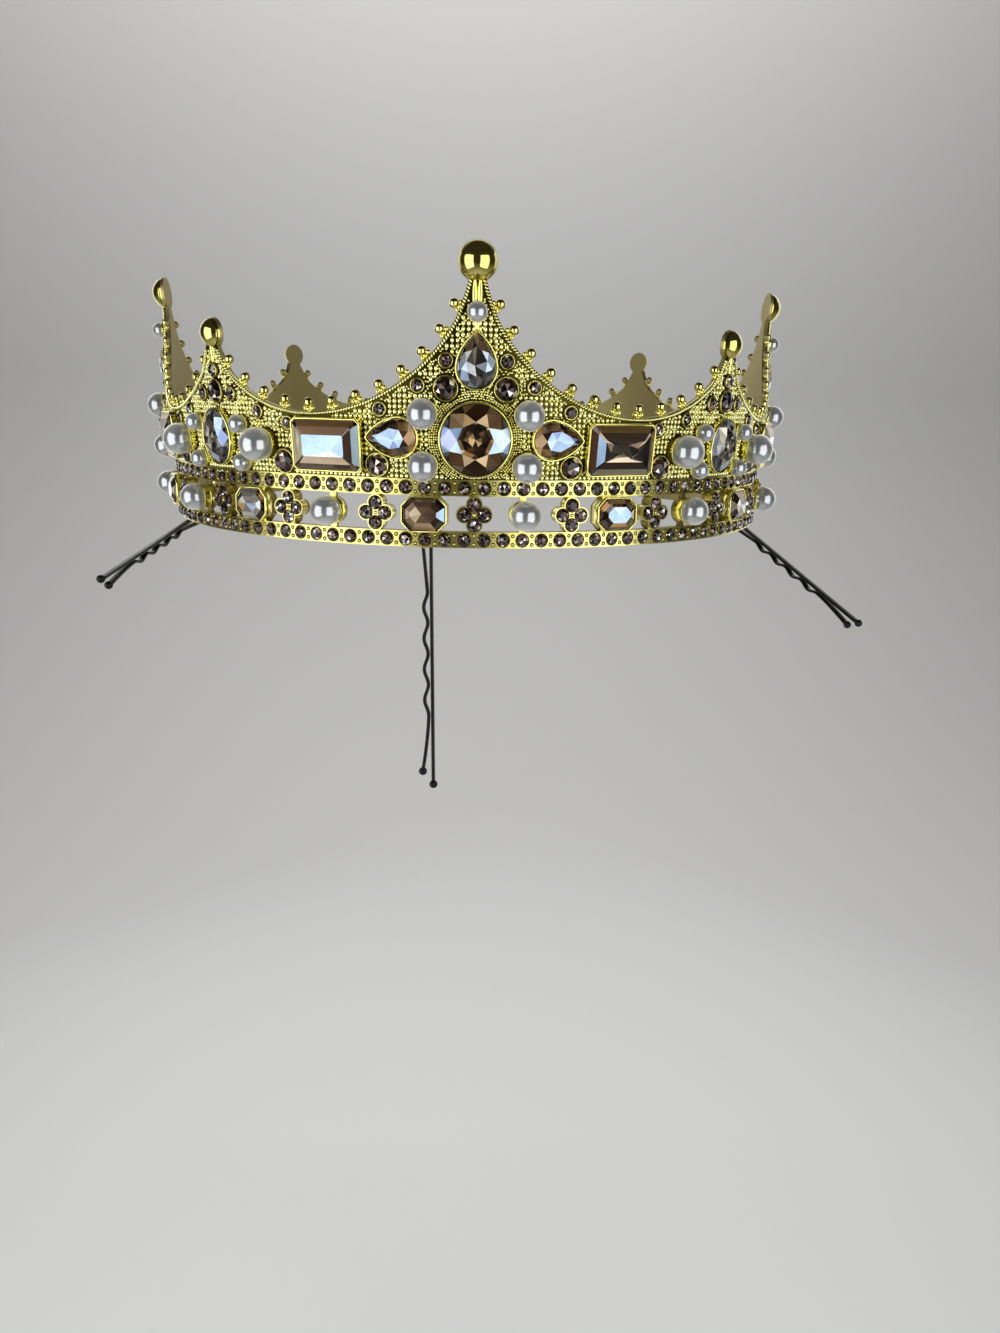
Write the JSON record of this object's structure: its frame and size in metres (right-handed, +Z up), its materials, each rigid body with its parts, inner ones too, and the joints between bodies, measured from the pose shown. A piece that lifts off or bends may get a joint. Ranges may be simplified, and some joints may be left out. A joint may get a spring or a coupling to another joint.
{
  "type": "costume crown with hair pins",
  "caption": "Round gilt crown with tall and short points, an openwork band, cut stones, pearls and hair pins that hold it in the hair.",
  "frame": {"origin": "centre of the head opening, in the plane of the lower rail's underside", "axes": "+Z up out of the crown, -Y to the front point, +X to the viewer's right"},
  "size_m": [0.1876, 0.1792, 0.1175],
  "materials": {
    "gilt_metal": "polished lemon gold plate on cast alloy",
    "champagne_glass": "cut glass, champagne brown, foiled back",
    "pale_glass": "cut glass, pale smoke, foiled back",
    "smoky_glass": "cut glass, dark smoky brown",
    "pearl": "imitation pearl, glossy",
    "black_enamel": "gloss black enamel"
  },
  "bodies": {
    "root": {"frame": "gilt_metal", "round_stone_front": "champagne_glass", "round_stone_right": "champagne_glass", "round_stone_back": "champagne_glass", "round_stone_left": "champagne_glass", "drop_stone_front": "pale_glass", "drop_stone_right": "pale_glass", "drop_stone_back": "pale_glass", "drop_stone_left": "pale_glass", "pear_stone_front_a": "champagne_glass", "pear_stone_right_a": "champagne_glass", "pear_stone_back_a": "champagne_glass", "pear_stone_left_a": "champagne_glass", "pear_stone_front_b": "champagne_glass", "pear_stone_right_b": "champagne_glass", "pear_stone_back_b": "champagne_glass", "pear_stone_left_b": "champagne_glass", "peak_pearls_front": "pearl", "peak_pearls_right": "pearl", "peak_pearls_back": "pearl", "peak_pearls_left": "pearl", "peak_chips_front": "smoky_glass", "peak_chips_right": "smoky_glass", "peak_chips_back": "smoky_glass", "peak_chips_left": "smoky_glass", "baguette_front_right_a": "champagne_glass", "baguette_back_right_a": "champagne_glass", "baguette_back_left_a": "champagne_glass", "baguette_front_left_a": "champagne_glass", "baguette_front_right_b": "champagne_glass", "baguette_back_right_b": "champagne_glass", "baguette_back_left_b": "champagne_glass", "baguette_front_left_b": "champagne_glass", "oval_stone_front_right": "pale_glass", "oval_stone_back_right": "pale_glass", "oval_stone_back_left": "pale_glass", "oval_stone_front_left": "pale_glass", "big_pearl_front_right_a": "pearl", "big_pearl_back_right_a": "pearl", "big_pearl_back_left_a": "pearl", "big_pearl_front_left_a": "pearl", "big_pearl_front_right_b": "pearl", "big_pearl_back_right_b": "pearl", "big_pearl_back_left_b": "pearl", "big_pearl_front_left_b": "pearl", "corner_pearls_front_right": "pearl", "corner_pearls_back_right": "pearl", "corner_pearls_back_left": "pearl", "corner_pearls_front_left": "pearl", "corner_chips_front_right": "smoky_glass", "corner_chips_back_right": "smoky_glass", "corner_chips_back_left": "smoky_glass", "corner_chips_front_left": "smoky_glass", "band_pearls": "pearl", "band_octagons": "champagne_glass", "hair_pin_front": "black_enamel", "hair_pin_right": "black_enamel", "hair_pin_left": "black_enamel"}
  },
  "joints": []
}
